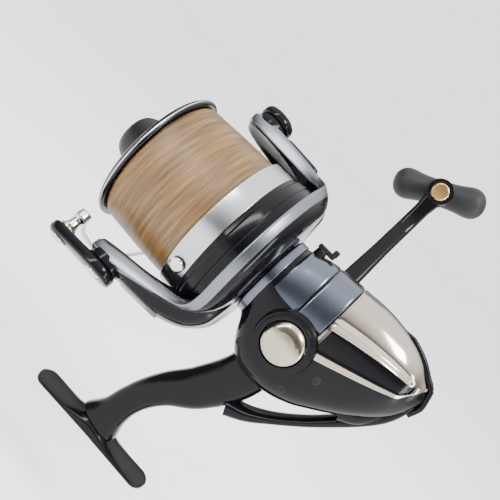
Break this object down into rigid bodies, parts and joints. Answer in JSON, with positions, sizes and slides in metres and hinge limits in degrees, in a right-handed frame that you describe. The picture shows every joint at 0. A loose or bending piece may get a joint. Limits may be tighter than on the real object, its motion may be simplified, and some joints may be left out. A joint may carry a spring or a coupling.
{
  "type": "spinning reel",
  "caption": "Front-drag spinning reel with a long-cast spool, folding crank with T-bar knob, and a bail on a two-armed rotor.",
  "frame": {"origin": "centre of the rod foot's flat seat face", "axes": "+X along the spool axis towards the rod tip, +Z from the foot to the spool, +Y towards the side with the round cap; the crank is on the -Y side"},
  "size_m": [0.1815, 0.1576, 0.2213],
  "materials": {
    "gloss_black": "gloss black lacquer on cast alloy",
    "gunmetal": "satin blue-grey metallic",
    "champagne_plate": "warm silver plating",
    "nickel": "polished nickel plating",
    "silver_alloy": "fine-turned bright alloy",
    "steel": "ground steel",
    "zinc": "die-cast zinc alloy",
    "brass": "machined brass",
    "bronze": "bronze-coloured plating",
    "nylon": "natural acetal",
    "matte_black": "matte moulded plastic",
    "rubber": "matte soft rubber",
    "line": "golden-brown wound nylon line",
    "felt": "woven carbon and oiled felt"
  },
  "bodies": {
    "body": {"body_frame": "gloss_black", "side_plate": "gloss_black", "plate_screws": "steel", "rear_cover": "champagne_plate", "neck_collar": "gunmetal", "cap_ring": "gloss_black", "handle_cap": "nickel", "gear_bearings": "steel", "pinion_bearing": "steel", "pinion_bush": "brass", "roller_clutch": "steel", "guide_rod": "steel"},
    "lever": {"anti_reverse_lever": "matte_black"},
    "crank": {"drive_gear": "zinc", "handle_shank": "gloss_black", "handle_arm": "gloss_black", "fold_pin": "steel", "knob_spindle": "bronze"},
    "knob": {"knob_grip": "rubber", "knob_bearings": "steel"},
    "rotor": {"rotor": "gloss_black", "arm_covers": "gunmetal", "pinion_gear": "brass", "clutch_sleeve": "steel", "rotor_nut": "steel", "balance_weight": "zinc", "pivot_screws": "nickel"},
    "bail": {"bail_lever": "gloss_black", "bail_cam": "gloss_black", "bail_wire": "steel", "roller_pin": "nickel"},
    "roller": {"line_roller": "nickel"},
    "worm": {"worm_shaft": "steel", "worm_gear": "nylon"},
    "shuttle": {"main_shaft": "steel", "slider": "zinc", "spool_seat": "nylon", "drag_plates": "steel"},
    "spool": {"spool": "silver_alloy", "spool_skirt": "gloss_black", "skirt_band": "silver_alloy", "spool_lip": "gunmetal", "line_pack": "line", "line_clip": "nickel", "spool_bearings": "steel", "drag_washers": "felt", "drag_clip": "steel"},
    "drag_knob": {"drag_knob": "gloss_black", "drag_nut": "brass", "drag_spring": "steel"}
  },
  "joints": [
    {"name": "rotor_spin", "type": "hinge", "parent": "body", "child": "rotor", "pos_m": [0, 0, 0.119], "axis": [1, 0, 0], "continuous": true},
    {"name": "crank_turn", "type": "hinge", "parent": "body", "child": "crank", "pos_m": [-0.035, 0, 0.107], "axis": [0, 1, 0], "continuous": true},
    {"name": "worm_spin", "type": "hinge", "parent": "body", "child": "worm", "pos_m": [-0.035, -0.0085, 0.126], "axis": [1, 0, 0], "continuous": true},
    {"name": "knob_spin", "type": "hinge", "parent": "crank", "child": "knob", "pos_m": [-0.035, -0.0975, 0.203], "axis": [0, 1, 0], "continuous": true},
    {"name": "shuttle_slide", "type": "slide", "parent": "body", "child": "shuttle", "axis": [1, 0, 0], "range_m": [0, 0.03]},
    {"name": "spool_turn", "type": "hinge", "parent": "shuttle", "child": "spool", "pos_m": [0.045, 0, 0.119], "axis": [1, 0, 0], "continuous": true},
    {"name": "drag_knob_turn", "type": "hinge", "parent": "shuttle", "child": "drag_knob", "pos_m": [0.075, 0, 0.119], "axis": [1, 0, 0], "range_deg": [-180, 360]},
    {"name": "bail_flip", "type": "hinge", "parent": "rotor", "child": "bail", "pos_m": [0.045, 0, 0.119], "axis": [0, -0.5, 0.866], "range_deg": [0, 112]},
    {"name": "roller_spin", "type": "hinge", "parent": "bail", "child": "roller", "pos_m": [0.069, 0.0224, 0.0742], "axis": [0, -0.5, 0.866], "continuous": true},
    {"name": "anti_reverse_switch", "type": "hinge", "parent": "body", "child": "lever", "pos_m": [-0.0175, 0, 0.141], "axis": [0, 0, 1], "range_deg": [0, 35]}
  ],
  "couplings": [
    {"joint": "crank_turn", "follows": "rotor_spin", "ratio": -0.20408},
    {"joint": "worm_spin", "follows": "rotor_spin", "ratio": -0.625}
  ]
}
